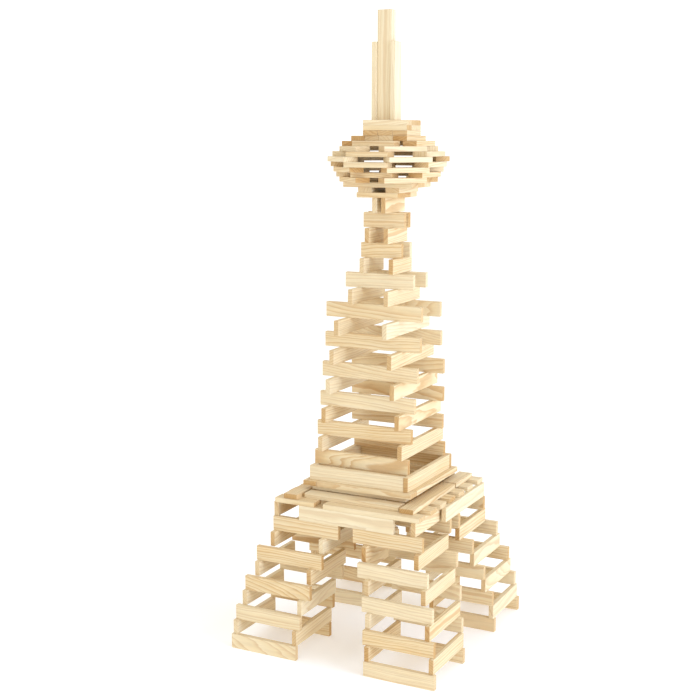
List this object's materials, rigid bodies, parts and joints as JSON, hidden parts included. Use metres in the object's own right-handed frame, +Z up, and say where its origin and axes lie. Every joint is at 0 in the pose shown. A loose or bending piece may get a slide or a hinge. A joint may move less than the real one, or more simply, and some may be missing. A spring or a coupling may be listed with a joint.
{
  "type": "giant tumbling tower",
  "caption": "Tall lawn-game tower dry-stacked from pale pine planks, on four leaning crossed-plank legs with a deck, a tapering open shaft, a double-cone pod and a mast",
  "frame": {"origin": "centre of the tower's footprint on the floor", "axes": "+Z up along the mast; +X to the right across the front; +Y from the front to the back"},
  "size_m": [0.3617, 0.3766, 1.016],
  "materials": {
    "pine": "matte"
  },
  "bodies": {
    "tower": {"back_bridge_plank": "pine", "back_left_leg_cross_planks": "pine", "back_left_leg_side_planks": "pine", "back_right_leg_cross_planks": "pine", "back_right_leg_side_planks": "pine", "deck_floor_boards": "pine", "deck_joists": "pine", "floor_bearers": "pine", "front_bridge_plank": "pine", "front_left_leg_cross_planks": "pine", "front_left_leg_side_planks": "pine", "front_right_leg_cross_planks": "pine", "front_right_leg_side_planks": "pine", "left_rail_planks": "pine", "right_rail_planks": "pine", "shaft_bed_boards": "pine", "shaft_box_walls": "pine", "shaft_collar_pair": "pine", "shaft_cross_pair_1": "pine", "shaft_cross_pair_2": "pine", "shaft_cross_pair_3": "pine", "shaft_cross_pair_4": "pine", "shaft_cross_pair_5": "pine", "shaft_cross_pair_6": "pine", "shaft_frame_boards": "pine", "shaft_side_pair_1": "pine", "shaft_side_pair_2": "pine", "shaft_side_pair_3": "pine", "shaft_side_pair_4": "pine", "shaft_side_pair_5": "pine", "shaft_side_pair_6": "pine"},
    "neck": {"neck_pair_1": "pine", "neck_pair_2": "pine", "neck_pair_3": "pine", "neck_pair_4": "pine", "neck_pair_5": "pine"},
    "pod": {"pod_floor_layer": "pine", "pod_foot_layer": "pine", "pod_foot_spacers": "pine", "pod_ring_1": "pine", "pod_ring_2": "pine", "pod_ring_3": "pine", "pod_ring_4": "pine", "pod_ring_5": "pine", "pod_ring_6": "pine", "pod_ring_7": "pine", "pod_ring_8": "pine"},
    "cap": {"cap_block_layer_1": "pine", "cap_block_layer_2": "pine", "cap_block_layer_3": "pine", "cap_floor_layer": "pine"},
    "mast_front_plank": {"mast_front_plank": "pine"},
    "mast_back_plank": {"mast_back_plank": "pine"},
    "mast_left_plank": {"mast_left_plank": "pine"},
    "mast_right_plank": {"mast_right_plank": "pine"},
    "deck_front_board": {"deck_front_board": "pine"},
    "deck_back_board": {"deck_back_board": "pine"},
    "deck_left_boards": {"deck_left_boards": "pine"},
    "deck_right_boards": {"deck_right_boards": "pine"}
  },
  "joints": [
    {"name": "neck_lift", "type": "slide", "parent": "tower", "child": "neck", "axis": [0, 0, 1], "range_m": [0, 0.05]},
    {"name": "pod_lift", "type": "slide", "parent": "neck", "child": "pod", "axis": [0, 0, 1], "range_m": [0, 0.05]},
    {"name": "cap_lift", "type": "slide", "parent": "pod", "child": "cap", "axis": [0, 0, 1], "range_m": [0, 0.05]},
    {"name": "mast_front_plank_lift", "type": "slide", "parent": "cap", "child": "mast_front_plank", "axis": [0, 0, 1], "range_m": [0, 0.175]},
    {"name": "mast_back_plank_lift", "type": "slide", "parent": "cap", "child": "mast_back_plank", "axis": [0, 0, 1], "range_m": [0, 0.175]},
    {"name": "mast_left_plank_lift", "type": "slide", "parent": "cap", "child": "mast_left_plank", "axis": [0, 0, 1], "range_m": [0, 0.125]},
    {"name": "mast_right_plank_lift", "type": "slide", "parent": "cap", "child": "mast_right_plank", "axis": [0, 0, 1], "range_m": [0, 0.125]},
    {"name": "deck_front_board_draw", "type": "slide", "parent": "tower", "child": "deck_front_board", "axis": [0, -1, 0], "range_m": [0, 0.08]},
    {"name": "deck_back_board_draw", "type": "slide", "parent": "tower", "child": "deck_back_board", "axis": [0, 1, 0], "range_m": [0, 0.08]},
    {"name": "deck_left_boards_draw", "type": "slide", "parent": "tower", "child": "deck_left_boards", "axis": [-1, 0, 0], "range_m": [0, 0.08]},
    {"name": "deck_right_boards_draw", "type": "slide", "parent": "tower", "child": "deck_right_boards", "axis": [1, 0, 0], "range_m": [0, 0.08]}
  ]
}
